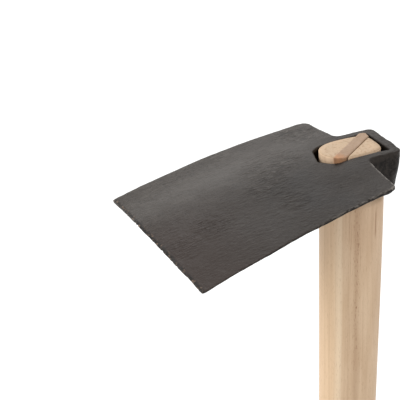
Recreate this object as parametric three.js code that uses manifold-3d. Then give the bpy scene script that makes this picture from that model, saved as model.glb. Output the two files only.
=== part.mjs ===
// Grub hoe: a forged steel head on a long ash handle, held by a wooden wedge.
//
// Millimetres, +Z up. The handle's axis is the Z axis. The head is at the top and the handle hangs
// below it. The blade reaches forward, toward -Y, and droops back toward the grip.
// The origin is on the handle's axis, level with the lower rim of the eye.

import * as THREE from 'three';
import { ConvexGeometry } from 'three/addons/geometries/ConvexGeometry.js';
import { mergeVertices } from 'three/addons/utils/BufferGeometryUtils.js';
import Module from 'manifold-3d';

const wasm = await Module();
wasm.setup();

// ---- Driving dimensions ------------------------------------------------------------------------

const FIT_GAP = 0.3;                 // clearance between pieces that touch
const TRIM_MARGIN = 16;              // raw stock beyond the outline that trims it
const CUT_OVERRUN = 1;               // how far a cutting solid goes past the faces it opens

// Eye: the forged socket. It is round at the lower rim and long and square at the outer face.
const EYE_DEPTH = 29;
const EYE_RIM = { front: 22.5, back: 22.8, side: 21, frontRadius: 19, backRadius: 10 };
const EYE_FACE = { back: 26.5, backSide: 19.8, neckSide: 20.4, front: 34, frontSide: 17 };
const EYE_CORNER = 4;              // radius of the square back corners
const HOLE_RIM = { front: 18.8, back: 18.8, side: 17.6 };
const HOLE_FACE = { back: 20.6, side: 14.4 };
const HOLE_CORNER = 1;
const HOLE_FRONT = [                 // [across, forward, radius]: it closes in a crooked point
  [-14, 17.5, 2],
  [-12, 21.4, 2],
  [3, 26, 4],
  [11.2, 20.4, 3],
  [13.4, 16.5, 4],
];

// Blade: a wide, slightly arched plate, drawn out a little further on its +X side.
const BLADE_LENGTH = 144;
const SHOULDER_HALF_WIDTH = 57;
const EDGE_HALF_WIDTH = { left: 69, right: 71.5 };
const SIDE_BOW = {                   // a corner of each side: [across, along, radius]
  left: [64.3, 72, 25],
  right: [65.2, 62, 25],
};
const EDGE_BOW = [0, 1.2, 30];       // the middle of the cutting edge: [across, ahead, radius]
const SHOULDER_SETBACK = 1.2;        // the middle of the shoulder, behind the handle's axis
const SHOULDER_DROP = 1;             // the shoulder's outer face, below the eye's outer face
const SHOULDER_PITCH = THREE.MathUtils.degToRad(7);
const EDGE_PITCH = THREE.MathUtils.degToRad(18);
const SIDE_CAMBER = 2.2;             // the sides curl toward the grip
const SHOULDER_SWEEP = 2.6;          // the shoulder's ends lie ahead of its middle
const SHOULDER_THICKNESS = 3;
const EDGE_THICKNESS = 1.4;
const SHOULDER_RADIUS = 6;
const EDGE_RADIUS = 3;
const WORN_SHOULDER_RADIUS = 4;      // the shoulder's +X corner
const NECK_FILLET = 6;               // between the shoulder and the eye
const TONGUE_RADIUS = 1;             // the plate's corners inside the eye's side walls

// Gusset: a ridge on the blade's inner face, from the eye to the middle of the blade.
const GUSSET_LENGTH = 88;
const GUSSET_HALF_WIDTH = 15;
const GUSSET_TIP_HALF_WIDTH = 3;
const GUSSET_HEIGHT = 13;

// Handle: extents toward the blade (front), away from it (back) and to each side.
const HANDLE_LENGTH = 1500;
const END_PROUD = 0.4;               // the handle's end, above the eye's outer face
const HANDLE_TOP = EYE_DEPTH + END_PROUD;
const HANDLE_BUTT = HANDLE_TOP - HANDLE_LENGTH;
const BUTT_ROUNDING = 6;
const END_CHAMFER = 0.8;
const GRIP = { front: 18.2, back: 18.2, side: 18.2 };
const WAIST = { front: 17.2, back: 17.2, side: 17.2 };
const SWELL = { front: 19.1, back: 19.3, side: 18.4 };
const NECK = { front: 19.8, back: 23.2, side: 19.2 };
const IN_RIM = { front: 18.3, back: 18.3, side: 17.1 };
const TIP = { front: 21.2, back: 18.6, side: 13.5 };
const GRIP_END = -1180;
const WAIST_START = -700;
const RAMP_START = -318;
const RAMP_END = -252;
const NECK_START = -6;

// Wedge: a tapered plate, driven diagonally into a kerf in the handle's end.
const WEDGE_ANGLE = THREE.MathUtils.degToRad(37);
const WEDGE_SETBACK = 1.5;           // where the wedge crosses the handle's middle plane
const WEDGE_TOP_THICKNESS = 6.8;
const WEDGE_TIP_THICKNESS = 1.6;
const WEDGE_DEPTH = 29;
const WEDGE_PROUD = 0.8;
const WEDGE_TILT = THREE.MathUtils.degToRad(1);  // its far end stands higher
const WEDGE_REACH = 60;              // longer than the eye's diagonal, before it is trimmed to fit

// Fineness of the curved surfaces.
const WELD_TOLERANCE = 1e-4;
const ARC_STEPS = 6;                 // along each rounded corner
const ROUND_SEGMENTS = 48;           // around the handle and the lower rim
const ROUNDING_STEPS = 4;            // around the butt's edge
const RAMP_STEPS = 6;                // along the swell at the foot
const PLATE_COLUMNS = 20;
const PLATE_ROWS = 24;

// ---- Solid modelling helpers -------------------------------------------------------------------

function toSolid(geometry) {
  const plain = geometry.clone();
  plain.deleteAttribute('normal');
  plain.deleteAttribute('uv');
  const welded = mergeVertices(plain, WELD_TOLERANCE);
  return new wasm.Manifold(new wasm.Mesh({
    numProp: 3,
    vertProperties: new Float32Array(welded.attributes.position.array),
    triVerts: new Uint32Array(welded.index.array),
  }));
}

function toGeometry(solid) {
  const mesh = solid.getMesh();
  const geometry = new THREE.BufferGeometry();
  geometry.setAttribute('position', new THREE.BufferAttribute(mesh.vertProperties, 3));
  geometry.setIndex(new THREE.BufferAttribute(mesh.triVerts, 1));
  geometry.computeVertexNormals();
  return geometry;
}

// Moves every vertex of a geometry to where place() puts it.
function reshape(geometry, place) {
  const position = geometry.attributes.position;
  const vertex = new THREE.Vector3();
  for (let i = 0; i < position.count; i += 1) {
    vertex.fromBufferAttribute(position, i);
    const { x, y, z } = place(vertex);
    position.setXYZ(i, x, y, z);
  }
  return geometry;
}

// A closed outline through the given corners, each rounded by its own radius.
function roundedShape(corners) {
  const shape = new THREE.Shape();
  corners.forEach(({ at, radius }, i) => {
    const before = corners.at(i - 1).at;
    const after = corners[(i + 1) % corners.length].at;
    const start = at.clone().add(before.clone().sub(at).setLength(radius));
    const end = at.clone().add(after.clone().sub(at).setLength(radius));
    if (i === 0) {
      shape.moveTo(start.x, start.y);
    } else {
      shape.lineTo(start.x, start.y);
    }
    shape.quadraticCurveTo(at.x, at.y, end.x, end.y);
  });
  shape.closePath();
  return shape;
}

const corner = (side, forward, radius) => ({ at: new THREE.Vector2(side, -forward), radius });

// An egg-shaped section: an ellipse with its own extents to the front and to the back.
function sectionPoint({ front, back, side }, turn, z) {
  const forward = Math.sin(turn);
  const reach = forward > 0 ? front : back;
  return new THREE.Vector3(side * Math.cos(turn), -reach * forward, z);
}

function sectionPoints(section, z, count) {
  return Array.from({ length: count }, (_, i) => sectionPoint(section, (2 * Math.PI * i) / count, z));
}

function shapePoints(shape, z) {
  return shape.getPoints(ARC_STEPS).map((point) => new THREE.Vector3(point.x, point.y, z));
}

// ---- Head --------------------------------------------------------------------------------------

// Where the blade is, at a distance along its arc and across it, at a depth below its outer face.
function bladePoint(across, along, depth) {
  const curvature = (EDGE_PITCH - SHOULDER_PITCH) / BLADE_LENGTH;
  const pitch = SHOULDER_PITCH + curvature * along;
  const forward = (Math.sin(pitch) - Math.sin(SHOULDER_PITCH)) / curvature;
  const drop = (Math.cos(SHOULDER_PITCH) - Math.cos(pitch)) / curvature;
  const curl = SIDE_CAMBER * (across / SHOULDER_HALF_WIDTH) ** 2;
  return new THREE.Vector3(
    across,
    SHOULDER_SETBACK - forward + depth * Math.sin(pitch),
    EYE_DEPTH - SHOULDER_DROP - drop - curl - depth * Math.cos(pitch),
  );
}

function bladeOutline() {
  const edgeForward = -bladePoint(0, BLADE_LENGTH, 0).y;
  const shoulder = SHOULDER_HALF_WIDTH;
  const neck = EYE_FACE.neckSide;
  const tongue = EYE_FACE.backSide;  // the plate runs on into the eye's side walls
  const onSide = (side, [across, along, radius]) =>
    corner(side * across, -bladePoint(0, along, 0).y, radius);
  const [middle, ahead, bend] = EDGE_BOW;
  return roundedShape([
    corner(-tongue, -NECK_FILLET * 2, TONGUE_RADIUS),
    corner(-neck, -SHOULDER_SETBACK, NECK_FILLET),
    corner(-shoulder, SHOULDER_SWEEP - SHOULDER_SETBACK, SHOULDER_RADIUS),
    onSide(-1, SIDE_BOW.left),
    corner(-EDGE_HALF_WIDTH.left, edgeForward, EDGE_RADIUS),
    corner(middle, edgeForward + ahead, bend),
    corner(EDGE_HALF_WIDTH.right, edgeForward, EDGE_RADIUS),
    onSide(1, SIDE_BOW.right),
    corner(shoulder, SHOULDER_SWEEP - SHOULDER_SETBACK, WORN_SHOULDER_RADIUS),
    corner(neck, -SHOULDER_SETBACK, NECK_FILLET),
    corner(tongue, -NECK_FILLET * 2, TONGUE_RADIUS),
  ]);
}

function bladeSolid() {
  const slab = new THREE.BoxGeometry(1, 1, 1, PLATE_COLUMNS, PLATE_ROWS, 1);
  reshape(slab, ({ x, y, z }) => {
    const across = x * 2 * (EDGE_HALF_WIDTH.right + TRIM_MARGIN);
    const along = THREE.MathUtils.lerp(-TRIM_MARGIN, BLADE_LENGTH + TRIM_MARGIN, 0.5 - y);
    const progress = THREE.MathUtils.clamp(along / BLADE_LENGTH, 0, 1);
    const thickness = THREE.MathUtils.lerp(SHOULDER_THICKNESS, EDGE_THICKNESS, progress);
    return bladePoint(across, along, (0.5 - z) * thickness);
  });
  const outline = new THREE.ExtrudeGeometry(bladeOutline(), {
    depth: 2 * BLADE_LENGTH,
    bevelEnabled: false,
    curveSegments: ARC_STEPS,
  });
  outline.translate(0, 0, -BLADE_LENGTH);
  return toSolid(slab).intersect(toSolid(outline));
}

function eyeSolid() {
  const { back, backSide, neckSide, front, frontSide } = EYE_FACE;
  const squareBack = roundedShape([
    corner(backSide, -back, EYE_CORNER),
    corner(-backSide, -back, EYE_CORNER),
    corner(-neckSide, 0, EYE_CORNER),
    corner(neckSide, 0, EYE_CORNER),
  ]);
  const rim = roundedShape([
    corner(EYE_RIM.side, -EYE_RIM.back, EYE_RIM.backRadius),
    corner(-EYE_RIM.side, -EYE_RIM.back, EYE_RIM.backRadius),
    corner(-EYE_RIM.side, EYE_RIM.front, EYE_RIM.frontRadius),
    corner(EYE_RIM.side, EYE_RIM.front, EYE_RIM.frontRadius),
  ]);
  const underBlade = bladePoint(0, front, SHOULDER_THICKNESS).z;
  return toSolid(new ConvexGeometry([
    ...shapePoints(rim, 0),
    ...shapePoints(squareBack, EYE_DEPTH),
    new THREE.Vector3(frontSide, -front, underBlade),
    new THREE.Vector3(-frontSide, -front, underBlade),
  ]));
}

function holeSolid(gap = 0) {
  const { back, side } = HOLE_FACE;
  const shrunk = (size) => size - Math.sign(size) * gap;
  const face = roundedShape([
    corner(shrunk(side), -back + gap, HOLE_CORNER),
    corner(shrunk(-side), -back + gap, HOLE_CORNER),
    ...HOLE_FRONT.map(([across, forward, radius]) => corner(shrunk(across), forward - gap, radius)),
  ]);
  const rim = {
    front: HOLE_RIM.front - gap,
    back: HOLE_RIM.back - gap,
    side: HOLE_RIM.side - gap,
  };
  return toSolid(new ConvexGeometry([
    ...sectionPoints(rim, 0, ROUND_SEGMENTS),
    ...sectionPoints(rim, -CUT_OVERRUN, ROUND_SEGMENTS),
    ...shapePoints(face, EYE_DEPTH),
    ...shapePoints(face, HANDLE_TOP + WEDGE_PROUD + 2 * CUT_OVERRUN),
  ]));
}

function gussetSolid() {
  const base = SHOULDER_THICKNESS / 4;
  const root = (side) => bladePoint(side, EYE_RIM.front - NECK_FILLET, base);
  const tip = (side) => bladePoint(side, GUSSET_LENGTH, base);
  const ridge = bladePoint(0, EYE_RIM.front - NECK_FILLET, SHOULDER_THICKNESS + GUSSET_HEIGHT);
  const crest = bladePoint(0, GUSSET_LENGTH / 2, SHOULDER_THICKNESS + GUSSET_HEIGHT / 4);
  const spread = (point, half) => [-half, half].map((x) => point.clone().setX(x));
  return toSolid(new ConvexGeometry([
    root(-GUSSET_HALF_WIDTH),
    root(GUSSET_HALF_WIDTH),
    tip(-GUSSET_TIP_HALF_WIDTH),
    tip(GUSSET_TIP_HALF_WIDTH),
    ...spread(ridge, GUSSET_HALF_WIDTH / 2),
    ...spread(crest, GUSSET_TIP_HALF_WIDTH),
  ]));
}

function headGeometry() {
  const body = bladeSolid().add(eyeSolid()).add(gussetSolid());
  return toGeometry(body.subtract(holeSolid()));
}

// ---- Handle and wedge --------------------------------------------------------------------------

const blend = (a, b, t) => ({
  front: THREE.MathUtils.lerp(a.front, b.front, t),
  back: THREE.MathUtils.lerp(a.back, b.back, t),
  side: THREE.MathUtils.lerp(a.side, b.side, t),
});

const shrink = ({ front, back, side }, by) => ({ front: front - by, back: back - by, side: side - by });

// The handle's section at each height, from the butt up to the end in the eye.
function handleStations() {
  const rounding = Array.from({ length: ROUNDING_STEPS + 1 }, (_, i) => {
    const turn = (Math.PI / 2) * (i / ROUNDING_STEPS);
    return {
      z: HANDLE_BUTT + BUTT_ROUNDING * (1 - Math.cos(turn)),
      section: shrink(GRIP, BUTT_ROUNDING * (1 - Math.sin(turn))),
    };
  });
  const ramp = Array.from({ length: RAMP_STEPS + 1 }, (_, i) => {
    const t = i / RAMP_STEPS;
    return {
      z: THREE.MathUtils.lerp(RAMP_START, RAMP_END, t),
      section: blend(WAIST, SWELL, THREE.MathUtils.smoothstep(t, 0, 1)),
    };
  });
  return [
    ...rounding,
    { z: GRIP_END, section: GRIP },
    { z: WAIST_START, section: WAIST },
    ...ramp,
    { z: NECK_START, section: NECK },
    { z: -FIT_GAP, section: IN_RIM },
    { z: HANDLE_TOP - END_CHAMFER, section: TIP },
    { z: HANDLE_TOP, section: shrink(TIP, END_CHAMFER) },
  ];
}

function handleBlank() {
  const stations = handleStations();
  const rows = stations.length - 1;
  const blank = new THREE.CylinderGeometry(1, 1, 1, ROUND_SEGMENTS, rows);
  blank.rotateX(Math.PI / 2);
  reshape(blank, ({ x, y, z }) => {
    const { z: height, section } = stations[Math.round((z + 0.5) * rows)];
    const reach = y < 0 ? section.front : section.back;
    return new THREE.Vector3(x * section.side, y * reach, height);
  });
  return toSolid(blank);
}

// A tapered plate that stands on its thin edge, turned to the wedge's place across the end.
function taperedPlate(gap, proud) {
  const half = WEDGE_TOP_THICKNESS / 2;
  const tip = WEDGE_TIP_THICKNESS / 2;
  const flare = (proud * (half - tip)) / WEDGE_DEPTH;
  const profile = new THREE.Shape([
    new THREE.Vector2(-tip - gap, -WEDGE_DEPTH - gap),
    new THREE.Vector2(tip + gap, -WEDGE_DEPTH - gap),
    new THREE.Vector2(half + flare + gap, proud),
    new THREE.Vector2(-half - flare - gap, proud),
  ]);
  const plate = new THREE.ExtrudeGeometry(profile, { depth: WEDGE_REACH, bevelEnabled: false });
  plate.translate(0, 0, -WEDGE_REACH / 2);
  plate.rotateX(Math.PI / 2);
  plate.rotateX(WEDGE_TILT);
  plate.rotateZ(WEDGE_ANGLE);
  plate.translate(0, WEDGE_SETBACK, HANDLE_TOP);
  return toSolid(plate);
}

function handleGeometry() {
  const fitted = handleBlank();
  const kerf = taperedPlate(FIT_GAP, WEDGE_PROUD + CUT_OVERRUN);
  return toGeometry(fitted.subtract(kerf));
}

function wedgeGeometry() {
  return toGeometry(taperedPlate(0, WEDGE_PROUD).intersect(holeSolid(FIT_GAP)));
}

// ---- Assembly ----------------------------------------------------------------------------------

function piece(name, geometry, material) {
  const mesh = new THREE.Mesh(geometry, new THREE.MeshStandardMaterial(material));
  mesh.name = name;
  return mesh;
}

const hoe = new THREE.Group();
hoe.add(piece('head', headGeometry(), { color: 0x5f5a57, roughness: 0.62, metalness: 0.55 }));
hoe.add(piece('handle', handleGeometry(), { color: 0xdabd9d, roughness: 0.6, metalness: 0 }));
hoe.add(piece('wedge', wedgeGeometry(), { color: 0xbda188, roughness: 0.7, metalness: 0 }));

export default hoe;
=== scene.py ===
import math
from itertools import product

import bmesh
import bpy
import numpy as np
from mathutils import Matrix, Vector


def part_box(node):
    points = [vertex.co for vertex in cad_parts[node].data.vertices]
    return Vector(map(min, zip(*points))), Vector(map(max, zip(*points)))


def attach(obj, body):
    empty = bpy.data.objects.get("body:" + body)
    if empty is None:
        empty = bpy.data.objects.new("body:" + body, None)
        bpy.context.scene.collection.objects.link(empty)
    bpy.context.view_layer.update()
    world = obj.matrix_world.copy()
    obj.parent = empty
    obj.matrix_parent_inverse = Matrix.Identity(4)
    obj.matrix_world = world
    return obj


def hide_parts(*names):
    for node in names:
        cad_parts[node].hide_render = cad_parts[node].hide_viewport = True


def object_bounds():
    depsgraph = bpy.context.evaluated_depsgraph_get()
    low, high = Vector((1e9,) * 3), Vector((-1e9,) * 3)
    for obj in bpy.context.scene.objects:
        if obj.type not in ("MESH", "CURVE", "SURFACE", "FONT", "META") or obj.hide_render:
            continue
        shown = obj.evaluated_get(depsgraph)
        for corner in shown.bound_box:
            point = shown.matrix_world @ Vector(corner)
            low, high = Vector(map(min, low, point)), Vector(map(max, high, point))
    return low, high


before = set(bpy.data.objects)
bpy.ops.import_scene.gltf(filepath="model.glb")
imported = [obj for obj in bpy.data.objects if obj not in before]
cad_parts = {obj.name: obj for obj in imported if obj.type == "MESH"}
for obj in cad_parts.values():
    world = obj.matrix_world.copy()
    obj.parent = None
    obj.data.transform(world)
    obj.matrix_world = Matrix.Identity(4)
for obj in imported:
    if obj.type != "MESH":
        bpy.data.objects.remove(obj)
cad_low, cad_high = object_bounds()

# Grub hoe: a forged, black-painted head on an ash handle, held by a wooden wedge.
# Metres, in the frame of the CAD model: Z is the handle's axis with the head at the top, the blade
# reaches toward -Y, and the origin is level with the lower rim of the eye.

MM = 0.001
AXES = np.eye(3, dtype=int)

head_low, head_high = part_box("head")
handle_low, handle_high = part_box("handle")
wedge_low, wedge_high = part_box("wedge")

# ---- Sizes of the head ---------------------------------------------------------------------------
# A pair for the blade's two sides is (at -X, at +X). A pair for the eye is (at its round lower rim,
# at its square outer face).

EYE_DEPTH = head_high.z
BLADE_REACH = -head_low.y - 0.5 * MM
EDGE_HALF_WIDTH = (-head_low.x - 0.2 * MM, head_high.x - 0.9 * MM)
SHOULDER_HALF_WIDTH = 57 * MM
SIDE_BOW = (1.0 * MM, 1.5 * MM)         # how far each side bulges
EDGE_BOW = 1.2 * MM                     # the cutting edge's middle, ahead of its corners
SHOULDER_SETBACK = 1.2 * MM             # of the shoulder's middle, behind the handle's axis
SHOULDER_DROP = 1.0 * MM                # of the plate there, below the eye's outer face
SHOULDER_SWEEP = (2.6 * MM, 1.4 * MM)   # of the shoulder's corners, toward the cutting edge
SHOULDER_PITCH = math.radians(7)
EDGE_PITCH = math.radians(18)
SIDE_CAMBER = 2.2 * MM                  # how far the sides drop below the blade's middle
SHOULDER_THICKNESS = 2.8 * MM
EDGE_THICKNESS = 1.3 * MM
BEVEL_LENGTH = 9 * MM                   # the last stretch, ground thinner at the cutting edge
BEVEL_THICKNESS = 1.2 * MM
PITCH_CHANGE = EDGE_PITCH - SHOULDER_PITCH
BLADE_LENGTH = (BLADE_REACH + SHOULDER_SETBACK) * PITCH_CHANGE / (
    math.sin(EDGE_PITCH) - math.sin(SHOULDER_PITCH)
)
BLADE_BEND = PITCH_CHANGE / BLADE_LENGTH

EYE_BACK = (22.8 * MM, head_high.y)
EYE_FRONT = (22.5 * MM, 34 * MM)
EYE_BACK_SIDE = (21 * MM, 19.8 * MM)
EYE_NECK_SIDE = (21 * MM, 20.2 * MM)
EYE_FRONT_SIDE = (21 * MM, 17 * MM)
EYE_BACK_RADIUS = (9 * MM, 4.6 * MM)
EYE_FRONT_RADIUS = (18 * MM, 6 * MM)
EYE_BULGE = 0.9 * MM                    # its wall is fuller halfway down
EYE_SKEW = 0.03                         # its back stands further out toward -X
EYE_SWELL = 1.4 * MM                    # the blade's outer face, thickened around the eye
SWELL_ALONG = (60 * MM, 12 * MM)        # where that thickening begins, and where it is full
SWELL_ACROSS = (42 * MM, 20 * MM)

# The hole's corners are rounded about these centres: (x, y) in mm at the lower rim and at the face.
HOLE_RADIUS = (17.6 * MM, 1.2 * MM)
HOLE_CORNERS = (
    ((0.0, 1.2), (13.2, 19.4)),
    ((0.0, 1.2), (-13.2, 19.4)),
    ((0.0, -0.8), (-12.8, -17.2)),
    ((0.0, -1.0), (-11.2, -20.3)),
    ((0.0, -1.2), (2.6, -24.4)),
    ((0.0, -1.0), (10.0, -19.0)),
    ((0.0, -0.8), (11.9, -15.6)),
)

GUSSET_START = 18 * MM
GUSSET_END = 92 * MM
GUSSET_HEIGHT = 12 * MM                 # at its start
GUSSET_RUN_ON = 1.3                     # it rises on into the eye, past its start
GUSSET_HOLLOW = 1.7                     # its back is a hollow curve
GUSSET_HALF_WIDTH = (15 * MM, 4 * MM)   # at its start and at its tip

FORGED_FILLET = 5 * MM                  # where the eye grows out of the blade
SHOULDER_CORNERS = (7 * MM, 3.4 * MM)   # softness of the blade's corners
EDGE_CORNERS = (2.0 * MM, 2.6 * MM)
EDGE_SOFTNESS = 1.0 * MM                # every outer edge
FACE_SOFTNESS = 2 * MM                  # where the outer faces of blade and eye meet
HOLE_SOFTNESS = 0.8 * MM

RELIEF_TURN = math.radians(-12)         # the slant of the wrinkles in the plate
# Where the plate's skin is wrinkled: (across, along, radius) in mm
CRINKLED_PATCHES = (
    (-19, 50, 30),
    (-42, 17, 24),
    (6, 62, 24),
    (17, 110, 19),
    (23, 131, 17),
    (30, 58, 16),
)

# ---- Numbers -------------------------------------------------------------------------------------


def lerp(a, b, t):
    return a + (b - a) * t


def smoothstep(low, high, value):
    t = np.clip((value - low) / (high - low), 0, 1)
    return t * t * (3 - 2 * t)


def soft_max(a, b, softness):
    """The larger of two distances, with a rounded edge where they meet."""
    closeness = np.clip(1 - np.abs(a - b) / softness, 0, None)
    return np.maximum(a, b) + closeness**2 * softness / 4


def soft_min(a, b, softness):
    return -soft_max(-a, -b, softness)


NOISE_TABLE = 4096
NOISE_PRIMES = (73856093, 19349663, 83492791)
NOISE_GAIN = 1.6


def noise(points, size, seed):
    """Smooth gradient noise, about -1 to 1. size is one bump's, and may differ along each axis."""
    table = np.random.default_rng(seed).normal(size=(NOISE_TABLE, 3))
    table /= np.linalg.norm(table, axis=1, keepdims=True)
    place = points / np.asarray(size)
    cell = np.floor(place).astype(np.int64)
    inner = place - cell
    ease = inner**3 * (inner * (inner * 6 - 15) + 10)
    total = np.zeros(len(points))
    for offset in product((0, 1), repeat=3):
        x, y, z = ((cell + offset) * NOISE_PRIMES).T
        slope = table[(x ^ y ^ z) & (NOISE_TABLE - 1)]
        weight = np.prod(np.where(offset, ease, 1 - ease), axis=1)
        total += weight * np.sum(slope * (inner - offset), axis=1)
    return total * NOISE_GAIN


# ---- The head as a distance field ----------------------------------------------------------------
# A point of the head is given as (across, along, depth): across the blade, along its arc from the
# shoulder, and below its outer face.


def blade_to_frame(points):
    """Frame coordinates of points given in the blade's own bent coordinates."""
    across, along, depth = points.T
    pitch = SHOULDER_PITCH + BLADE_BEND * along
    forward = (np.sin(pitch) - math.sin(SHOULDER_PITCH)) / BLADE_BEND
    drop = (math.cos(SHOULDER_PITCH) - np.cos(pitch)) / BLADE_BEND
    curl = SIDE_CAMBER * (across / SHOULDER_HALF_WIDTH) ** 2
    y = SHOULDER_SETBACK - forward + depth * np.sin(pitch)
    z = EYE_DEPTH - SHOULDER_DROP - drop - curl - depth * np.cos(pitch)
    return np.stack([across, y, z], axis=1)


def beyond_edge(across, along):
    """How far a point lies ahead of the bowed cutting edge."""
    return along - BLADE_LENGTH + EDGE_BOW * (across / EDGE_HALF_WIDTH[0]) ** 2


def blade_distance(across, along, depth, ragged):
    """Distance to the blade and its gusset, without the outer face."""
    progress = np.clip(along / BLADE_LENGTH, 0, 1)
    edge_half_width = np.where(across < 0, *EDGE_HALF_WIDTH)
    half_width = lerp(SHOULDER_HALF_WIDTH, edge_half_width, progress)
    half_width += np.where(across < 0, *SIDE_BOW) * np.sin(math.pi * progress)
    side = np.abs(across) - half_width + ragged
    sweep = np.where(across < 0, *SHOULDER_SWEEP)
    shoulder = sweep * np.abs(across) / SHOULDER_HALF_WIDTH - along + ragged
    edge = beyond_edge(across, along) + ragged
    outline = soft_max(side, shoulder, np.where(across < 0, *SHOULDER_CORNERS))
    outline = soft_max(outline, edge, np.where(across < 0, *EDGE_CORNERS))
    thickness = lerp(SHOULDER_THICKNESS, EDGE_THICKNESS, np.sqrt(progress))
    bevel = smoothstep(BLADE_LENGTH - BEVEL_LENGTH, BLADE_LENGTH, along)
    thickness = lerp(thickness, BEVEL_THICKNESS, bevel)
    ridge = np.clip((GUSSET_END - along) / (GUSSET_END - GUSSET_START), 0, GUSSET_RUN_ON)
    ridge_half_width = lerp(GUSSET_HALF_WIDTH[1], GUSSET_HALF_WIDTH[0], ridge)
    flank = np.clip(1 - np.abs(across) / ridge_half_width, 0, 1)
    gusset = GUSSET_HEIGHT * ridge**GUSSET_HOLLOW * smoothstep(0, 1, flank)
    return soft_max(outline, depth - thickness - gusset, EDGE_SOFTNESS)


def egg_distance(across, forward, back, front, side, back_radius, front_radius):
    """Distance to a rounded rectangle that differs in its front and its back half."""
    middle = (front - back) / 2
    half_length = (front + back) / 2
    blend = half_length * 0.3
    radius = lerp(back_radius, front_radius, smoothstep(-blend, blend, forward - middle))
    out_side = np.abs(across) - side + radius
    out_end = np.abs(forward - middle) - half_length + radius
    outside = np.hypot(np.clip(out_side, 0, None), np.clip(out_end, 0, None))
    return outside + np.minimum(np.maximum(out_side, out_end), 0) - radius


def eye_distance(x, y, z):
    """Distance to the eye's outer wall, without its outer face."""
    height = np.clip(z / EYE_DEPTH, 0, 1)
    back_side = lerp(*EYE_BACK_SIDE, height)
    neck_side = lerp(*EYE_NECK_SIDE, height)
    front_side = lerp(*EYE_FRONT_SIDE, height)
    back = lerp(*EYE_BACK, height)
    front = lerp(*EYE_FRONT, height)
    behind = np.clip(y / back, 0, 1)
    ahead = np.clip(-y / front, 0, 1)
    side = lerp(lerp(neck_side, back_side, behind), front_side, ahead)
    skew = EYE_SKEW * (x - EYE_BACK_SIDE[1]) * behind
    back_radius = lerp(*EYE_BACK_RADIUS, height)
    front_radius = lerp(*EYE_FRONT_RADIUS, height)
    wall = egg_distance(x, -y - skew, back, front, side, back_radius, front_radius)
    wall = wall - EYE_BULGE * 4 * height * (1 - height)
    return soft_max(wall, -z, EDGE_SOFTNESS)


def polygon_distance(x, y, corners):
    """Distance to a convex polygon, given counter-clockwise."""
    nearest = np.full(x.shape, np.inf)
    inside = np.ones(x.shape, dtype=bool)
    for (ax, ay), (bx, by) in zip(corners, corners[1:] + corners[:1]):
        edge_x, edge_y = bx - ax, by - ay
        to_x, to_y = x - ax, y - ay
        length = np.maximum(edge_x**2 + edge_y**2, 1e-12)
        share = np.clip((to_x * edge_x + to_y * edge_y) / length, 0, 1)
        nearest = np.minimum(nearest, np.hypot(to_x - share * edge_x, to_y - share * edge_y))
        inside &= edge_x * to_y - edge_y * to_x > 0
    return np.where(inside, -nearest, nearest)


def hole_distance(x, y, z):
    height = np.clip(z / EYE_DEPTH, 0, 1)
    corners = [
        (lerp(rim_x, face_x, height) * MM, lerp(rim_y, face_y, height) * MM)
        for (rim_x, rim_y), (face_x, face_y) in HOLE_CORNERS
    ]
    return polygon_distance(x, y, corners) - lerp(*HOLE_RADIUS, height)


def head_distance(points, relief=0.0, ragged=0.0):
    """Distance to the finished head. relief pushes its faces in, and ragged the blade's outline."""
    across, along, depth = points.T
    x, y, z = blade_to_frame(points).T
    blade = blade_distance(across, along, depth, ragged)
    eye = eye_distance(x, y, z) + ragged
    body = soft_min(blade, eye, FORGED_FILLET)
    swell = EYE_SWELL * smoothstep(*SWELL_ALONG, along) * smoothstep(*SWELL_ACROSS, np.abs(across))
    outer_face = soft_max(z - EYE_DEPTH, -depth - swell, FACE_SOFTNESS)
    body = soft_max(body, outer_face, EDGE_SOFTNESS)
    return soft_max(body, -hole_distance(x, y, z), HOLE_SOFTNESS) + relief


def crinkling(across, along):
    """How strongly the plate's skin is wrinkled: in a few patches where it was forged hardest."""
    strength = np.zeros(len(across))
    for middle_across, middle_along, radius in CRINKLED_PATCHES:
        away = np.hypot(across - middle_across * MM, along - middle_along * MM)
        strength = np.maximum(strength, smoothstep(radius * MM, radius * 0.35 * MM, away))
    return strength


def forging_relief(points):
    """Hammer dents on the eye, and fine slanting wrinkles on the blade, as depths."""
    frame_points = blade_to_frame(points)
    across, along, depth = points.T
    on_eye = np.maximum(smoothstep(4 * MM, 9 * MM, depth), smoothstep(2 * MM, -8 * MM, along))
    dents = noise(frame_points, 10 * MM, 1) * 0.42 + noise(frame_points, 4 * MM, 2) * 0.16
    sway = noise(points, 42 * MM, 3) * 10 * MM
    cosine, sine = math.cos(RELIEF_TURN), math.sin(RELIEF_TURN)
    stretched = np.stack(
        [across * cosine - along * sine + sway, across * sine + along * cosine, depth], axis=1
    )
    wrinkles = noise(stretched, (2.2 * MM, 7 * MM, 20 * MM), 4)
    creases = 1 - 2 * np.abs(noise(stretched, (4.6 * MM, 13 * MM, 20 * MM), 10))
    pits = noise(points, 2.3 * MM, 13)
    patches = 0.2 + 0.35 * smoothstep(-0.3, 0.4, noise(points, 34 * MM, 5))
    patches = patches + crinkling(across, along)
    swell = noise(points, 32 * MM, 6)
    plate = (wrinkles * 0.15 + creases * 0.09) * patches + pits * 0.05 + swell * 0.22
    return MM * (on_eye * dents + (1 - on_eye) * plate)


def outline_raggedness(points):
    """How far the blade's rim strays from a straight line, with a few nicks in its cutting edge."""
    flat = points * (1, 1, 0)
    wander = noise(flat, 26 * MM, 7) * 0.55 + noise(flat, 7 * MM, 8) * 0.16
    near_edge = smoothstep(BLADE_LENGTH - 14 * MM, BLADE_LENGTH - 4 * MM, points[:, 1])
    nicks = smoothstep(0.35, 0.8, noise(flat, (3.2 * MM, 60 * MM, 1), 9)) * near_edge
    return MM * (wander + 0.75 * nicks)


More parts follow.
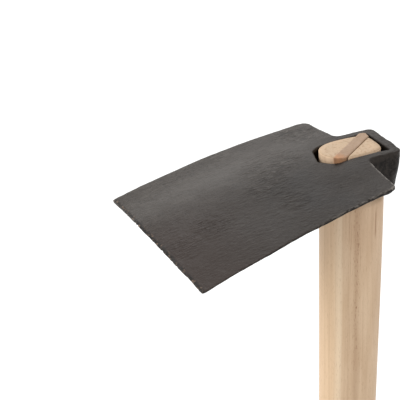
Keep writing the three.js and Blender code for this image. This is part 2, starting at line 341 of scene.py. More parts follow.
def surface_nets(values, axes):
    """Points and quads of the surface where a field, sampled at places along axes, is zero."""
    solid = values < 0
    shape = np.array(values.shape) - 1

    def shifted(array, offset):
        return array[tuple(slice(o, o + n) for o, n in zip(offset, shape))]

    total = np.zeros((*shape, 3))
    count = np.zeros(shape, dtype=int)
    for axis, start in product(range(3), product((0, 1), repeat=3)):
        if start[axis]:
            continue
        low, high = shifted(values, start), shifted(values, start + AXES[axis])
        crossed = (low < 0) != (high < 0)
        share = np.where(crossed, low / np.where(crossed, low - high, 1), 0)
        total += crossed[..., None] * (np.array(start) + share[..., None] * AXES[axis])
        count += crossed
    used = count > 0
    index = np.full(shape, -1)
    index[used] = np.arange(used.sum())
    cells = np.argwhere(used) + total[used] / count[used][:, None]
    places = [np.interp(cells[:, a], np.arange(len(axes[a])), axes[a]) for a in range(3)]
    quads = []
    for axis in range(3):
        u, v = AXES[(axis + 1) % 3], AXES[(axis + 2) % 3]
        inner = [slice(1, -1)] * 3
        inner[axis] = slice(0, -1)
        ahead = list(inner)
        ahead[axis] = slice(1, None)
        low, high = solid[tuple(inner)], solid[tuple(ahead)]
        node = np.argwhere(low != high) + u + v
        leaving = low[low != high]
        ring = [index[tuple((node - o).T)] for o in (u + v, v, 0 * u, u)]
        quad = np.stack(ring, axis=1)
        quads.append(np.where(leaving[:, None], quad, quad[:, ::-1]))
    return np.stack(places, axis=1), np.concatenate(quads)


def settle_on_surface(points, distance, rounds=4):
    """Moves points along the field's slope until they lie on the surface."""
    step = 0.02 * MM
    for _ in range(rounds):
        value = distance(points)
        slope = np.stack(
            [(distance(points + step * axis) - value) / step for axis in np.eye(3)], axis=1
        )
        steepness = np.clip(np.sum(slope**2, axis=1), 0.2, None)
        move = np.clip(-value / steepness, -MM, MM)
        points = points + move[:, None] * slope
    return points


def mesh_object(name, points, faces, smooth=True):
    mesh = bpy.data.meshes.new(name)
    mesh.from_pydata(list(points), [], [list(face) for face in faces])
    mesh.update()
    mesh.polygons.foreach_set("use_smooth", [smooth] * len(mesh.polygons))
    piece = bpy.data.objects.new(name, mesh)
    bpy.context.scene.collection.objects.link(piece)
    return piece


def store(piece, name, values):
    """Keeps one number per vertex for the material to read."""
    attribute = piece.data.attributes.new(name, "FLOAT", "POINT")
    attribute.data.foreach_set("value", np.asarray(values, dtype=np.float32))


def implicit_piece(name, axes, rough_distance, distance, place=None):
    """A mesh of the surface where distance is zero, found on a grid with rough_distance."""
    grid = np.stack(np.meshgrid(*axes, indexing="ij"), axis=-1)
    values = rough_distance(grid.reshape(-1, 3)).reshape(grid.shape[:3])
    points, quads = surface_nets(values, axes)
    points = settle_on_surface(points, distance)
    corners = place(points) if place else points
    return mesh_object(name, corners.tolist(), quads), points


def store_wear_and_shade(piece, points):
    """Keeps, for the paint, where the head is worn, shaded or wrinkled."""
    across, along, depth = points.T
    x, y, z = blade_to_frame(points).T
    below_face = EYE_DEPTH - z
    far_above = np.full(len(points), -20 * MM)  # there, only the blade's outline counts
    rim = -blade_distance(across, along, far_above, 0)

    arris = smoothstep(1.5 * MM, 0.5 * MM, rim) * smoothstep(1.2 * MM, 0.5 * MM, depth)
    beside_eye = smoothstep(22 * MM, 30 * MM, np.abs(across))
    on_shoulder = smoothstep(8 * MM, 4 * MM, along)
    near_shoulder = smoothstep(70 * MM, 30 * MM, along)
    scuffed = np.where(across < 0, 0.3, 0.15 + 0.3 * near_shoulder + 0.6 * on_shoulder)
    store(piece, "outer_edge", np.clip(arris * beside_eye * scuffed, 0, 1))

    store(piece, "cutting_edge", smoothstep(-3.4 * MM, -1.6 * MM, beyond_edge(across, along)))

    # Painted shade: the blade's thin rim walls, below its outer face, are painted nearly black
    at_rim = smoothstep(1.1 * MM, 0.3 * MM, rim) * smoothstep(-2 * MM, -1 * MM, rim)
    store(piece, "shaded_rim_wall", at_rim * smoothstep(0.3 * MM, 0.8 * MM, depth))

    # Painted shade: the hole's inner walls are painted black
    in_hole = smoothstep(1.4 * MM, 0.4 * MM, hole_distance(x, y, z))
    in_hole = in_hole * smoothstep(0.2 * MM, 1.2 * MM, depth)
    store(piece, "shaded_hole_wall", in_hole * smoothstep(0.2 * MM, 1.2 * MM, below_face))

    # Painted shade: the eye's outer wall, in shade beside the blade's shoulder, is painted nearly
    # black
    wall_in_shade = smoothstep(2.2 * MM, 5 * MM, depth) * smoothstep(0.8 * MM, 2.4 * MM, below_face)
    store(piece, "shaded_eye_wall", wall_in_shade)

    store(piece, "crinkled", crinkling(across, along))
    store(piece, "along", np.clip(along / BLADE_LENGTH, 0, 1))
    store(piece, "across", across / EDGE_HALF_WIDTH[1])


def make_head():
    cell = 0.85 * MM
    thin = 0.4 * MM             # the plate is sampled in thinner layers
    margin = 3 * MM
    above_plate = 2.6 * MM
    below_plate = 8 * MM
    axes = [
        np.arange(head_low.x - margin, head_high.x + margin, cell),
        np.arange(-head_high.y - 2 * margin, BLADE_LENGTH + margin, cell),
        np.concatenate(
            [
                np.arange(-above_plate, below_plate, thin),
                np.arange(below_plate, EYE_DEPTH + 2 * margin, cell),
            ]
        ),
    ]

    def forged(points):
        return head_distance(points, forging_relief(points), outline_raggedness(points))

    piece, points = implicit_piece("forged_head", axes, head_distance, forged, blade_to_frame)
    store_wear_and_shade(piece, points)
    return piece


# ---- Handle --------------------------------------------------------------------------------------

# Extents of the handle's section: toward the blade, away from it, and to each side.
GRIP = np.array([18.2, 18.2, 18.2]) * MM
WAIST = np.array([17.2, 17.2, 17.2]) * MM
SWELL = np.array([19.1, 19.3, 18.4]) * MM
NECK = np.array([19.8, 23.2, 19.2]) * MM
IN_RIM = np.array([18.3, 18.3, 17.1]) * MM
TIP = np.array([21.2, 18.6, 13.6]) * MM
GRIP_END = -1180 * MM
WAIST_START = -700 * MM
RAMP_START = -318 * MM
RAMP_END = -252 * MM
NECK_START = -7 * MM
BUTT_ROUNDING = 6 * MM
END_CHAMFER = 1.2 * MM
CHAMFER_STEEPNESS = 0.7
FRONT_SQUARENESS = 0.16         # the end's section is squarer than an ellipse
BACK_SQUARENESS = 0.42
SQUARED_FROM = 20 * MM          # the height above which it is fully so
POINTS_AROUND = 128
CAP_RINGS = (0.8, 0.55, 0.3, 0.1)


def handle_section(z):
    """The handle's extents at a height, between the butt and its end in the eye."""
    section = lerp(GRIP, WAIST, smoothstep(GRIP_END, WAIST_START, z))
    section = lerp(section, SWELL, smoothstep(RAMP_START, RAMP_END, z))
    section = lerp(section, NECK, smoothstep(RAMP_END, NECK_START, z))
    section = lerp(section, IN_RIM, smoothstep(NECK_START, 0, z))
    section = lerp(section, TIP, np.clip(z / handle_high.z, 0, 1))
    rise = z - handle_low.z
    if rise < BUTT_ROUNDING:
        section = section - BUTT_ROUNDING + math.sqrt(max(2 * rise * BUTT_ROUNDING - rise**2, 0))
    fall = handle_high.z - z
    if fall < END_CHAMFER:
        section = section - (END_CHAMFER - fall) ** 2 / END_CHAMFER * CHAMFER_STEEPNESS
    return section


def handle_heights():
    rounding = handle_low.z + BUTT_ROUNDING * (1 - np.cos(np.linspace(0, math.pi / 2, 9)))
    shaft = np.linspace(rounding[-1], NECK_START, 240)[1:]
    neck = np.linspace(NECK_START, 0, 10)[1:]
    socket = np.linspace(0, handle_high.z - END_CHAMFER, 16)[1:]
    chamfer = handle_high.z - END_CHAMFER * (1 - np.linspace(0, 1, 6)[1:])
    return np.concatenate([rounding, shaft, neck, socket, chamfer])


def hand_shaved(points):
    """The handle's points, moved in or out a little, less so in the socket."""
    radial = points * (1, 1, 0)
    radial /= np.linalg.norm(radial, axis=1, keepdims=True)
    broad = noise(points, (16 * MM, 16 * MM, 140 * MM), 11) * 0.28
    fine = noise(points, (7 * MM, 7 * MM, 60 * MM), 12) * 0.1
    freedom = np.where(points[:, 2] < 0, 0.9, 0.5)
    return points + radial * ((broad + fine) * freedom * MM)[:, None]


def ring_quads(low, high, flipped=False):
    """Quads between two rings of points, each given by the number of its first point."""
    for i in range(POINTS_AROUND):
        j = (i + 1) % POINTS_AROUND
        quad = (low + i, low + j, high + j, high + i)
        yield quad[::-1] if flipped else quad


def make_handle_blank():
    turn = np.linspace(0, 2 * math.pi, POINTS_AROUND, endpoint=False)
    heights = handle_heights()
    rings = []
    for z in heights:
        front, back, side = handle_section(z)
        squareness = np.where(turn > math.pi, FRONT_SQUARENESS, BACK_SQUARENESS)
        power = 1 - squareness * smoothstep(0, SQUARED_FROM, z)
        cosine = np.sign(np.cos(turn)) * np.abs(np.cos(turn)) ** power
        sine = np.sign(np.sin(turn)) * np.abs(np.sin(turn)) ** power
        y = np.where(sine < 0, front, back) * sine
        rings.append(np.stack([side * cosine, y, np.full(POINTS_AROUND, z)], axis=1))
    points = hand_shaved(np.concatenate(rings)).tolist()
    last_ring = (len(heights) - 1) * POINTS_AROUND
    faces = []
    for low in range(0, last_ring, POINTS_AROUND):
        faces.extend(ring_quads(low, low + POINTS_AROUND))
    # Each end is closed by rings that shrink to a small middle face.
    for base, bottom in ((0, True), (last_ring, False)):
        outer = base
        for share in CAP_RINGS:
            inner = len(points)
            for x, y, z in points[base : base + POINTS_AROUND]:
                points.append((x * share, y * share, z))
            faces.extend(ring_quads(outer, inner, flipped=bottom))
            outer = inner
        cap = tuple(range(outer, outer + POINTS_AROUND))
        faces.append(cap[::-1] if bottom else cap)
    return mesh_object("ash_handle", points, faces)


# ---- Wedge ---------------------------------------------------------------------------------------

FIT_GAP = 0.3 * MM
WEDGE_ANGLE = math.radians(37)
WEDGE_SETBACK = 1.5 * MM        # its middle stands behind the handle's axis
WEDGE_HALF_THICKNESS = (0.8 * MM, 3.4 * MM)     # at the tip and level with the handle's end
WEDGE_DEPTH = 29 * MM
WEDGE_TOP = wedge_high.z - 0.7 * MM
WEDGE_SLOPE = 0.16              # its top falls toward the back of the handle
HOLE_BACK_LIMIT = 19.2 * MM     # the wedge stops short of the hole's back wall
KERF_CRUSH = 0.4 * MM           # the slot stands a little open behind the wedge
KERF_OVERRUN = 6 * MM           # the block that cuts it stands this far above the handle's end
KERF_REACH = 60 * MM            # and reaches this far each way
CRISP_ANGLE = math.radians(40)  # edges sharper than this aren't smoothed over


def wedge_distance(points, relief=0.0, roughness=0.0):
    """Distance to the wedge. relief pushes its sides in, and roughness its top."""
    x, y, z = points.T
    backward = x * math.cos(WEDGE_ANGLE) + (y - WEDGE_SETBACK) * math.sin(WEDGE_ANGLE)
    rise = (z - handle_high.z + WEDGE_DEPTH) / WEDGE_DEPTH
    plate = np.abs(backward) - lerp(*WEDGE_HALF_THICKNESS, rise)
    tip = handle_high.z - WEDGE_DEPTH - z
    top = z - WEDGE_TOP + WEDGE_SLOPE * backward + roughness
    ends = hole_distance(x, y, z) + FIT_GAP
    ends = soft_max(ends, y - HOLE_BACK_LIMIT, 2 * MM)
    body = soft_max(plate + relief, tip, 0.5 * MM)
    body = soft_max(body, ends + relief, 0.8 * MM)
    return soft_max(body, top, 0.7 * MM)


def make_wedge():
    cell = 0.45 * MM
    margin = 1.5 * MM
    axes = [np.arange(wedge_low[a] - margin, wedge_high[a] + margin, cell) for a in range(3)]

    def split(points):
        across_grain = noise(points, (5 * MM, 5 * MM, 40 * MM), 21) * 0.10 * MM
        fibres = noise(points, (1.3 * MM, 1.3 * MM, 30 * MM), 22) * 0.12 * MM
        lumps = noise(points, 6 * MM, 23) * 0.25 * MM
        return wedge_distance(points, across_grain, fibres + lumps)

    return implicit_piece("oak_wedge", axes, wedge_distance, split)[0]


def kerf_corners():
    """The corners of a block that fills the wedge's slot."""
    foot = handle_high.z - WEDGE_DEPTH - FIT_GAP
    top = handle_high.z + KERF_OVERRUN
    for z, side, end in product((foot, top), (-1, 1), (-1, 1)):
        rise = (z - handle_high.z + WEDGE_DEPTH) / WEDGE_DEPTH
        gap = FIT_GAP + (KERF_CRUSH * rise if side > 0 else 0)
        backward = side * (lerp(*WEDGE_HALF_THICKNESS, rise) + gap)
        lengthways = end * KERF_REACH
        x = backward * math.cos(WEDGE_ANGLE) + lengthways * math.sin(WEDGE_ANGLE)
        y = WEDGE_SETBACK + backward * math.sin(WEDGE_ANGLE) - lengthways * math.cos(WEDGE_ANGLE)
        yield x, y, z


def cut_kerf(handle):
    """Cuts the wedge's slot through the end of the handle."""
    faces = [(0, 1, 3, 2), (4, 6, 7, 5), (0, 4, 5, 1), (2, 3, 7, 6), (0, 2, 6, 4), (1, 5, 7, 3)]
    cutter = mesh_object("kerf_cutter", kerf_corners(), faces, smooth=False)
    shell = bmesh.new()
    shell.from_mesh(cutter.data)
    bmesh.ops.recalc_face_normals(shell, faces=shell.faces)
    shell.to_mesh(cutter.data)
    shell.free()
    cut = handle.modifiers.new("kerf", "BOOLEAN")
    cut.operation = "DIFFERENCE"
    cut.solver = "EXACT"
    cut.object = cutter
    apply_modifiers(handle)
    bpy.data.objects.remove(cutter)
    handle.data.set_sharp_from_angle(angle=CRISP_ANGLE)


def apply_modifiers(piece):
    graph = bpy.context.evaluated_depsgraph_get()
    finished = bpy.data.meshes.new_from_object(piece.evaluated_get(graph))
    piece.modifiers.clear()
    piece.data = finished


# ---- Materials -----------------------------------------------------------------------------------

WRINKLE_BEARING = math.radians(78)


class Nodes:
    """A short way to write a material's node tree."""

    def __init__(self, name):
        self.material = bpy.data.materials.new(name)
        self.material.use_nodes = True
        self.tree = self.material.node_tree
        self.shader = self.tree.nodes["Principled BSDF"]

    def add(self, kind, inputs=(), **settings):
        node = self.tree.nodes.new(kind)
        for key, value in settings.items():
            setattr(node, key, value)
        for key, value in dict(inputs).items():
            self.set(node.inputs[key], value)
        return node

    def set(self, socket, value):
        if isinstance(value, bpy.types.NodeSocket):
            self.tree.links.new(value, socket)
        else:
            socket.default_value = value

    def math(self, operation, a, b=0.0):
        node = self.add("ShaderNodeMath", operation=operation)
        self.set(node.inputs[0], a)
        self.set(node.inputs[1], b)
        return node.outputs[0]

    def times(self, a, b):
        return self.math("MULTIPLY", a, b)

    def plus(self, a, b):
        return self.math("ADD", a, b)

    def away_from(self, value, centre):
        """How far a value is from a centre, either way."""
        return self.math("ABSOLUTE", self.math("SUBTRACT", value, centre))

    def mix(self, share, a, b):
        """Colour a, going over to colour b as share rises from 0 to 1."""
        node = self.add("ShaderNodeMix", data_type="RGBA")
        self.set(node.inputs["Factor"], share)
        self.set(node.inputs[6], a)     # the node's sockets for colours have no names of their own
        self.set(node.inputs[7], b)
        return node.outputs[2]

    def over(self, base, share, tint, strength=1.0):
        """base, with a tint laid over it by share times strength."""
        return self.mix(share if strength == 1.0 else self.times(share, strength), base, tint)

    def ramp(self, value, low, high):
        """value, from 0 at low to 1 at high."""
        node = self.add("ShaderNodeMapRange", interpolation_type="SMOOTHSTEP")
        self.set(node.inputs["Value"], value)
        self.set(node.inputs["From Min"], low)
        self.set(node.inputs["From Max"], high)
        return node.outputs["Result"]

    def position(self, scale=(1, 1, 1)):
        where = self.add("ShaderNodeTexCoord").outputs["Object"]
        return self.add("ShaderNodeMapping", {"Vector": where, "Scale": scale}).outputs[0]

    def height(self):
        where = self.add("ShaderNodeTexCoord").outputs["Object"]
        return self.add("ShaderNodeSeparateXYZ", {0: where}).outputs["Z"]

    def toward(self, bearing):
        """Distance from the Z axis toward a bearing, counted from +X toward +Y."""
        where = self.add("ShaderNodeTexCoord").outputs["Object"]
        inputs = {0: where, 1: (math.cos(bearing), math.sin(bearing), 0.0)}
        node = self.add("ShaderNodeVectorMath", inputs, operation="DOT_PRODUCT")
        return node.outputs["Value"]

    def drawn_out(self, bearing, stretch):
        """Position in which a pattern is drawn out along a bearing, counted from +X toward +Y."""
        where = self.add("ShaderNodeTexCoord").outputs["Object"]
        inputs = {"Vector": where, "Rotation": (0, 0, bearing), "Scale": (stretch, 1, 1)}
        return self.add("ShaderNodeMapping", inputs, vector_type="TEXTURE").outputs[0]

    def noise(self, vector, bumps_per_metre, detail=3.0, roughness=0.55, distortion=0.0):
        inputs = {
            "Vector": vector,
            "Scale": bumps_per_metre,
            "Detail": detail,
            "Roughness": roughness,
            "Distortion": distortion,
        }
        return self.add("ShaderNodeTexNoise", inputs).outputs["Fac"]

    def attribute(self, name):
        return self.add("ShaderNodeAttribute", attribute_name=name).outputs["Fac"]

    def bump(self, height, distance, strength=1.0, below=None):
        inputs = {"Height": height, "Distance": distance, "Strength": strength}
        if below is not None:
            inputs["Normal"] = below
        return self.add("ShaderNodeBump", inputs).outputs["Normal"]

    def finish(self, **inputs):
        for key, value in inputs.items():
            self.set(self.shader.inputs[key.replace("_", " ")], value)
        return self.material


def colour(red, green, blue):
    return (red, green, blue, 1.0)


THICK_COAT = colour(0.0342, 0.0277, 0.0228)
THIN_COAT = colour(0.0489, 0.0407, 0.0342)
# Paler slanting streaks in the coat
PALE_STREAK = colour(0.0685, 0.0587, 0.0505)
PIT = colour(0.0114, 0.0090, 0.0073)
# Painted light and shade on the wrinkles: lighter crests, darker troughs
WRINKLE_PAINTED_HIGHLIGHT = colour(0.110, 0.0978, 0.0880)
WRINKLE_PAINTED_SHADE = colour(0.0130, 0.0098, 0.0081)
# Painted sheen: a lighter band standing for the lights' reflection on the plate
PAINTED_SHEEN = colour(0.0880, 0.0791, 0.0717)
# Painted shade: the blade's +X half, away from the lights, darkened
NEAR_SIDE_PAINTED_SHADE = colour(0.0179, 0.0134, 0.0106)
BROWNED = colour(0.0410, 0.0255, 0.0205)
BLUISH = colour(0.0228, 0.0253, 0.0293)
# Painted shade on the eye's outer wall
EYE_WALL_PAINTED_SHADE = (colour(0.0057, 0.0041, 0.0033), colour(0.0228, 0.0179, 0.0147))
EDGE_GRIME = colour(0.0080, 0.0057, 0.0041)
EDGE_RUST = colour(0.135, 0.092, 0.063)
BARE_STEEL = colour(0.240, 0.218, 0.196)
# Painted shade on the blade's rim walls and inside the hole
RIM_PAINTED_SHADE = colour(0.0045, 0.0032, 0.0024)
HOLE_PAINTED_SHADE = colour(0.0033, 0.0024, 0.0016)


def black_paint():
    """Thin matt black paint on a forging, worn brown at the cutting edge and grey on the rims, with
    painted sheen, highlights and shade.
    """
    n = Nodes("black_paint_on_forging")
    here = n.position()
    across, along = n.attribute("across"), n.attribute("along")
    clouds = n.noise(here, 22, detail=4)
    grain = n.noise(here, 1100, detail=3, roughness=0.6)
    pits = n.noise(here, 460, detail=4, roughness=0.65)
    slanting = n.drawn_out(WRINKLE_BEARING, 3.2)
    wrinkles = n.noise(slanting, 620, detail=2, roughness=0.5, distortion=0.5)
    streaks = n.noise(n.drawn_out(WRINKLE_BEARING, 2.5), 170, detail=4, distortion=0.6)
    everywhere = n.times(n.ramp(n.noise(here, 26, detail=2), 0.38, 0.62), 0.45)
    wrinkled = n.math("MAXIMUM", everywhere, n.attribute("crinkled"))

    # The coat, with its paler streaks and pits, painted highlights on the wrinkles' crests and
    # painted shade in their troughs
    paint = n.mix(clouds, THICK_COAT, THIN_COAT)
    paint = n.over(paint, n.ramp(streaks, 0.40, 0.80), PALE_STREAK)
    paint = n.over(paint, n.ramp(pits, 0.46, 0.34), PIT, 0.7)
    paint = n.over(paint, n.times(n.ramp(wrinkles, 0.54, 0.68), wrinkled), WRINKLE_PAINTED_HIGHLIGHT, 0.8)
    paint = n.over(paint, n.times(n.ramp(wrinkles, 0.46, 0.34), wrinkled), WRINKLE_PAINTED_SHADE, 0.8)

    # A painted sheen along the -X half, the +X half painted darker as shade and browning toward the
    # edge, bluish clouds
    band = n.math("ABSOLUTE", n.plus(n.plus(across, n.times(along, 0.16)), 0.38))
    sheen_mask = n.times(n.ramp(band, 0.36, 0.0), n.ramp(along, 0.0, 0.28))
    sheen_mask = n.times(sheen_mask, n.ramp(along, 1.9, 0.3))
    paint = n.over(paint, sheen_mask, PAINTED_SHEEN, 0.6)
    # Painted shade on the +X half, the side away from the lights
    shaded_half = n.ramp(across, -0.55, 0.25)
    paint = n.over(paint, shaded_half, NEAR_SIDE_PAINTED_SHADE, 0.70)
    paint = n.over(paint, n.times(n.ramp(along, 0.45, 1.0), shaded_half), BROWNED, 0.5)
    paint = n.over(paint, n.ramp(n.noise(here, 14, detail=2), 0.56, 0.74), BLUISH, 0.3)

    # Painted shade on the eye's wall, rim walls and hole, rusty flecks at the edge, scuffs down to
    # the steel
    eye_wall_shade = n.mix(n.ramp(pits, 0.40, 0.62), *EYE_WALL_PAINTED_SHADE)
    paint = n.over(paint, n.attribute("shaded_eye_wall"), eye_wall_shade)
    flecked = n.mix(n.ramp(n.noise(here, 420, detail=2), 0.55, 0.65), EDGE_GRIME, EDGE_RUST)
    bare = n.ramp(n.noise(here, 150, detail=3), 0.28, 0.44)
    paint = n.over(paint, n.times(n.attribute("cutting_edge"), bare), flecked)
    scuffs = n.ramp(n.noise(here, 480, detail=3), 0.32, 0.62)
    paint = n.over(paint, n.times(n.attribute("outer_edge"), scuffs), BARE_STEEL, 0.95)
    rim_shade_mottle = n.ramp(n.noise(here, 260, detail=3), 0.62, 0.44)
    paint = n.over(paint, n.times(n.attribute("shaded_rim_wall"), rim_shade_mottle), RIM_PAINTED_SHADE)
    paint = n.over(paint, n.attribute("shaded_hole_wall"), HOLE_PAINTED_SHADE)

    rough = n.plus(n.times(n.ramp(clouds, 0.2, 0.8), 0.10), 0.40)
    rough = n.plus(rough, n.times(grain, 0.10))
    relief = n.bump(grain, 0.16 * MM, 0.6)
    relief = n.bump(pits, 0.5 * MM, 0.7, below=relief)
    relief = n.bump(n.times(wrinkles, wrinkled), 1.0 * MM, below=relief)
    return n.finish(
        Base_Color=paint, Roughness=rough, Normal=relief, Metallic=0.0, Specular_IOR_Level=0.165
    )


def ring_lines(n, pith, width, wander):
    """Growth rings about a pith outside the piece, from 0 to 1 across each ring."""
    inputs = {"Vector": n.position((1, 1, 0)), "Location": (-pith[0], -pith[1], 0)}
    shifted = n.add("ShaderNodeMapping", inputs).outputs[0]
    radius = n.add("ShaderNodeVectorMath", {0: shifted}, operation="LENGTH").outputs["Value"]
    radius = n.plus(radius, n.times(wander, 3.5 * width))
    return n.math("FRACT", n.math("DIVIDE", radius, width))


def wood(name, pale, dark, deep, pith, ring_width, figure, end_tint=None):
    """Straight-grained wood: fibres and pores run down it, and its sawn end is speckled."""
    n = Nodes(name)
    wander = n.noise(n.position((1, 1, 0.10)), 12, detail=3)
    late = n.math("POWER", ring_lines(n, pith, ring_width, wander), 3.0)
    bands = n.noise(n.position((1, 1, 0.03)), 110, detail=3, roughness=0.6)
    fibres = n.noise(n.position((1, 1, 0.02)), 620, detail=3, roughness=0.65)
    pores = n.ramp(n.noise(n.position((1, 1, 0.16)), 1900, detail=2), 0.57, 0.70)
    blotches = n.noise(n.position((1, 1, 0.25)), 60, detail=3)
    base = n.mix(n.ramp(blotches, 0.30, 0.70), pale, dark)
    base = figure(n, base, deep, pores)
    base = n.over(base, n.ramp(bands, 0.45, 0.70), dark, 0.35)
    base = n.over(base, late, deep, 0.10)
    base = n.over(base, n.ramp(fibres, 0.42, 0.75), deep, 0.14)
    base = n.over(base, pores, deep, 0.24)
    if end_tint:
        at_end = n.ramp(n.height(), handle_high.z - 0.9 * MM, handle_high.z - 0.3 * MM)
        specks = n.ramp(n.noise(n.position(), 620, detail=2), 0.52, 0.64)
        sawn = n.mix(n.times(specks, 0.5), end_tint, deep)
        smears = n.ramp(n.noise(n.position(), 130, detail=3), 0.4, 0.7)
        sawn = n.over(sawn, smears, dark, 0.4)
        base = n.over(base, at_end, sawn)
    grain = n.math("SUBTRACT", n.times(fibres, 0.7), n.times(pores, 0.6))
    relief = n.bump(grain, 0.14 * MM, 0.5)
    rough = n.plus(n.times(fibres, 0.16), 0.46)
    return n.finish(Base_Color=base, Roughness=rough, Normal=relief, Specular_IOR_Level=0.29)


FIGURE_BEARING = math.radians(59.7)     # the figure's stripes lie side by side in this direction
SAPWOOD = colour(0.660, 0.469, 0.293)
# Painted highlight: a paler band where a soft ridge down the handle catches the light
PAINTED_HIGHLIGHT_BAND = colour(0.774, 0.619, 0.440)
# Painted shadow of the blade on the handle below the eye
BLADE_PAINTED_SHADOW = colour(0.456, 0.302, 0.204)
# Painted light on the handle's end within the eye
SOCKET_PAINTED_LIGHT = colour(0.815, 0.595, 0.416)
# The wedge end's reddish-brown bruise, lightened as painted light on a face in shade
BRUISE_AND_PAINTED_LIGHT = colour(0.480, 0.240, 0.118)


def ash_figure(n, base, deep, pores):
    """The figure of the handle's board: yellowish sapwood in front, a pale band of painted
    highlight, pinkish behind, a brown streak down the +X side, a short dark check near the eye, the
    blade's shadow painted below the eye and painted light on the end in the eye."""
    waver = n.math("SUBTRACT", n.noise(n.position((0, 0, 1)), 9, detail=3), 0.5)
    ragged = n.math("SUBTRACT", n.noise(n.position((1, 1, 0.03)), 420, detail=2), 0.5)
    sideways = n.plus(n.toward(FIGURE_BEARING), n.times(waver, 5 * MM))
    sideways = n.plus(sideways, n.times(ragged, 3 * MM))
    outward = n.ramp(n.toward(FIGURE_BEARING - math.pi / 2), 1 * MM, 7 * MM)
    height = n.height()
    upper = n.ramp(height, -150 * MM, -60 * MM)

    base = n.over(base, n.ramp(sideways, -2.5 * MM, -7.0 * MM), SAPWOOD, 0.75)
    # Painted highlight along a soft ridge down the handle
    band_start = n.ramp(sideways, -10.5 * MM, -6.0 * MM)
    band_end = n.ramp(sideways, -2.5 * MM, -5.0 * MM)
    base = n.over(base, n.times(band_start, band_end), PAINTED_HIGHLIGHT_BAND, 0.6)

    off_streak = n.away_from(sideways, 5.6 * MM)
    soft_line = n.times(n.ramp(off_streak, 3.4 * MM, 0.4 * MM), 0.26)
    porous_line = n.times(n.ramp(off_streak, 3.0 * MM, 1.0 * MM), pores)
    streak = n.plus(soft_line, n.times(porous_line, n.times(upper, 0.8)))
    base = n.over(base, n.times(streak, outward), deep)

    hairlines = n.ramp(n.noise(n.position((1, 1, 0.012)), 900, detail=2), 0.60, 0.70)
    hairlines = n.times(hairlines, n.ramp(n.away_from(sideways, 4 * MM), 8 * MM, 4 * MM))
    hairlines = n.times(hairlines, n.times(upper, 0.45))
    base = n.over(base, n.times(hairlines, outward), deep)

    # Painted shadow of the blade: the handle is darker just below the eye
    shadow_below_eye = n.times(n.ramp(height, -75 * MM, -5 * MM), n.ramp(height, 2 * MM, 0.0))
    base = n.over(base, shadow_below_eye, BLADE_PAINTED_SHADOW, 0.28)
    # Painted light: the handle's end within the eye is painted lighter
    base = n.over(base, n.ramp(height, 10 * MM, 26 * MM), SOCKET_PAINTED_LIGHT, 0.7)

    check_width = n.ramp(n.away_from(sideways, 17.5 * MM), 0.9 * MM, 0.2 * MM)
    check_length = n.ramp(n.away_from(height, -20 * MM), 13 * MM, 5 * MM)
    check = n.times(n.times(check_width, check_length), outward)
    return n.over(base, check, deep, 0.7)


def bruised_lit_end(n, base, deep, pores):
    """The wedge is bruised reddish-brown at its end toward the blade, painted lighter there as
    painted light on a face in shade.
    """
    forward = n.toward(WEDGE_ANGLE - math.pi / 2)
    ragged = n.math("SUBTRACT", n.noise(n.position(), 300, detail=3), 0.5)
    bruise_and_light = n.ramp(n.plus(forward, n.times(ragged, 12 * MM)), 11 * MM, 19 * MM)
    return n.over(base, bruise_and_light, BRUISE_AND_PAINTED_LIGHT, 0.85)


def ash():
    return wood(
        "pale_ash",
        pale=colour(0.652, 0.481, 0.324),
        dark=colour(0.562, 0.391, 0.246),
        deep=colour(0.277, 0.143, 0.0693),
        pith=(0.055, 0.030),
        ring_width=4.6 * MM,
        figure=ash_figure,
        end_tint=colour(0.473, 0.342, 0.222),
    )


def oak():
    return wood(
        "wedge_hardwood",
        pale=colour(0.416, 0.293, 0.202),
        dark=colour(0.350, 0.232, 0.151),
        deep=colour(0.163, 0.0693, 0.0367),
        pith=(-0.04, 0.05),
        ring_width=2.6 * MM,
        figure=bruised_lit_end,
    )


def pale_floor():
    n = Nodes("pale_floor")
    speckle = n.noise(n.position(), 3, detail=2)
    tone = n.mix(speckle, colour(0.92, 0.92, 0.915), colour(0.94, 0.94, 0.935))
    return n.finish(Base_Color=tone, Roughness=0.9, Specular_IOR_Level=0.2)


# ---- Studio --------------------------------------------------------------------------------------

FLOOR_HALF_SIZE = 60.0
FLOOR_GAP = 0.5 * MM
SURROUND_STRENGTH = 0.92
TARGET = Vector((0, 0, EYE_DEPTH))      # lights and camera are placed around the end of the handle

CAMERA_AZIMUTH = 59.73
CAMERA_ELEVATION = 24.31
CAMERA_DISTANCE = 0.986
CAMERA_TURN_LEFT = 5.56
CAMERA_TIP_DOWN = 2.04
CAMERA_ROLL = -1.90
CAMERA_LENS = 138.3
CAMERA_SENSOR = 36.0


def outward(azimuth, elevation):
    """The direction away from the target, for angles in degrees, from -Y toward +X and up."""
    a, e = math.radians(azimuth), math.radians(elevation)
    return Vector((math.sin(a) * math.cos(e), -math.cos(a) * math.cos(e), math.sin(e)))


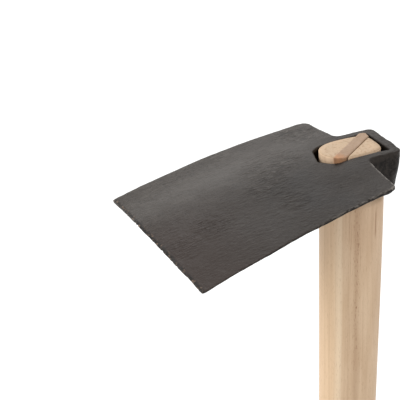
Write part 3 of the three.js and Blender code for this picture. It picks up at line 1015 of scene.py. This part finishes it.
def make_studio():
    z = cad_low.z - FLOOR_GAP
    signs = ((-1, -1), (1, -1), (1, 1), (-1, 1))
    corners = [(x * FLOOR_HALF_SIZE, y * FLOOR_HALF_SIZE, z) for x, y in signs]
    floor = mesh_object("floor", corners, [(0, 1, 2, 3)], smooth=False)
    floor.data.materials.append(pale_floor())

    scene = bpy.context.scene
    scene.view_settings.view_transform = "Standard"
    scene.world = bpy.data.worlds.new("studio")
    scene.world.use_nodes = True
    surround = scene.world.node_tree.nodes["Background"].inputs
    surround["Color"].default_value = colour(1.0, 1.0, 1.0)
    surround["Strength"].default_value = SURROUND_STRENGTH


def soft_light(name, azimuth, elevation, distance, size, watts):
    """A square area light that looks at the target."""
    back = outward(azimuth, elevation)
    data = bpy.data.lights.new(name, "AREA")
    data.size = size
    data.energy = watts
    light = bpy.data.objects.new(name, data)
    light.location = TARGET + back * distance
    light.rotation_mode = "QUATERNION"
    light.rotation_quaternion = (-back).to_track_quat("-Z", "Y")
    bpy.context.scene.collection.objects.link(light)


def make_camera():
    """Close to the head, above its +X shoulder, with the handle leaving the picture below."""
    data = bpy.data.cameras.new("camera")
    data.lens = CAMERA_LENS
    data.sensor_width = CAMERA_SENSOR
    camera = bpy.data.objects.new("camera", data)
    bpy.context.scene.collection.objects.link(camera)
    back = outward(CAMERA_AZIMUTH, CAMERA_ELEVATION)
    right = Vector((0, 0, 1)).cross(back).normalized()
    up = back.cross(right)
    turn_left, tip_down = math.radians(CAMERA_TURN_LEFT), math.radians(CAMERA_TIP_DOWN)
    look = (-back - right * math.tan(turn_left) - up * math.tan(tip_down)).normalized()
    facing = look.to_track_quat("-Z", "Y").to_matrix().to_4x4()
    turned = facing @ Matrix.Rotation(math.radians(CAMERA_ROLL), 4, "Z")
    camera.location = TARGET + back * CAMERA_DISTANCE
    camera.rotation_mode = "QUATERNION"
    camera.rotation_quaternion = turned.to_quaternion()
    bpy.context.scene.camera = camera


# ---- Assembly ------------------------------------------------------------------------------------


def install(piece, node, material):
    piece.data.materials.clear()
    piece.data.materials.append(material)
    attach(piece, "root")
    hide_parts(node)


make_camera()
make_studio()
soft_light("key", azimuth=-25, elevation=30, distance=8, size=4, watts=288)
soft_light("sheen", azimuth=-105, elevation=40, distance=8, size=3.5, watts=178)

head = make_head()
install(head, "head", black_paint())

handle = make_handle_blank()
cut_kerf(handle)
install(handle, "handle", ash())

wedge = make_wedge()
install(wedge, "wedge", oak())
